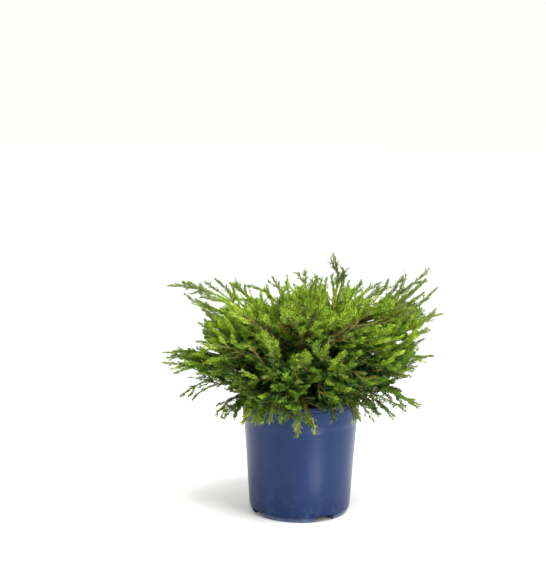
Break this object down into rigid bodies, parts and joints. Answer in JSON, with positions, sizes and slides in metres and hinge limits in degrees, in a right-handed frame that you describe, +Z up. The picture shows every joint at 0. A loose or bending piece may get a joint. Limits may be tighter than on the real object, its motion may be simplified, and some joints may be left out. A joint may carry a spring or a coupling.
{
  "type": "potted repanda common juniper",
  "caption": "Low spreading juniper with arching needle-clad shoots round a short stem, in a round tapered blue nursery pot with a band and thin lip, filled with potting soil.",
  "frame": {"origin": "centre of the pot's flat underside, on the surface that it stands on", "axes": "+Z up along the pot's axis; -Y towards the viewer of the picture, +X to that viewer's right"},
  "size_m": [0.3666, 0.289, 0.338],
  "materials": {
    "blue_plastic": "semi-gloss moulded blue",
    "potting_soil": "dark crumbly peat",
    "bark": "thin flaking red-brown bark",
    "needles": "yellow-green awl needles, darker inside the crown"
  },
  "bodies": {
    "root": {"pot": "blue_plastic", "soil": "potting_soil", "stem": "bark", "low_bough_1": "bark", "low_foliage_1": "needles", "low_bough_2": "bark", "low_foliage_2": "needles", "low_bough_3": "bark", "low_foliage_3": "needles", "low_bough_4": "bark", "low_foliage_4": "needles", "low_bough_5": "bark", "low_foliage_5": "needles", "low_bough_6": "bark", "low_foliage_6": "needles", "low_bough_7": "bark", "low_foliage_7": "needles", "low_bough_8": "bark", "low_foliage_8": "needles", "low_bough_9": "bark", "low_foliage_9": "needles", "middle_bough_1": "bark", "middle_foliage_1": "needles", "middle_bough_2": "bark", "middle_foliage_2": "needles", "middle_bough_3": "bark", "middle_foliage_3": "needles", "middle_bough_4": "bark", "middle_foliage_4": "needles", "middle_bough_5": "bark", "middle_foliage_5": "needles", "middle_bough_6": "bark", "middle_foliage_6": "needles", "middle_bough_7": "bark", "middle_foliage_7": "needles", "middle_bough_8": "bark", "middle_foliage_8": "needles", "middle_bough_9": "bark", "middle_foliage_9": "needles", "high_bough_1": "bark", "high_foliage_1": "needles", "high_bough_2": "bark", "high_foliage_2": "needles", "high_bough_3": "bark", "high_foliage_3": "needles", "high_bough_4": "bark", "high_foliage_4": "needles", "high_bough_5": "bark", "high_foliage_5": "needles", "high_bough_6": "bark", "high_foliage_6": "needles", "high_bough_7": "bark", "high_foliage_7": "needles", "high_bough_8": "bark", "high_foliage_8": "needles", "inner_foliage_1": "needles", "inner_foliage_2": "needles", "inner_foliage_3": "needles", "inner_foliage_4": "needles", "inner_foliage_5": "needles"}
  },
  "joints": []
}
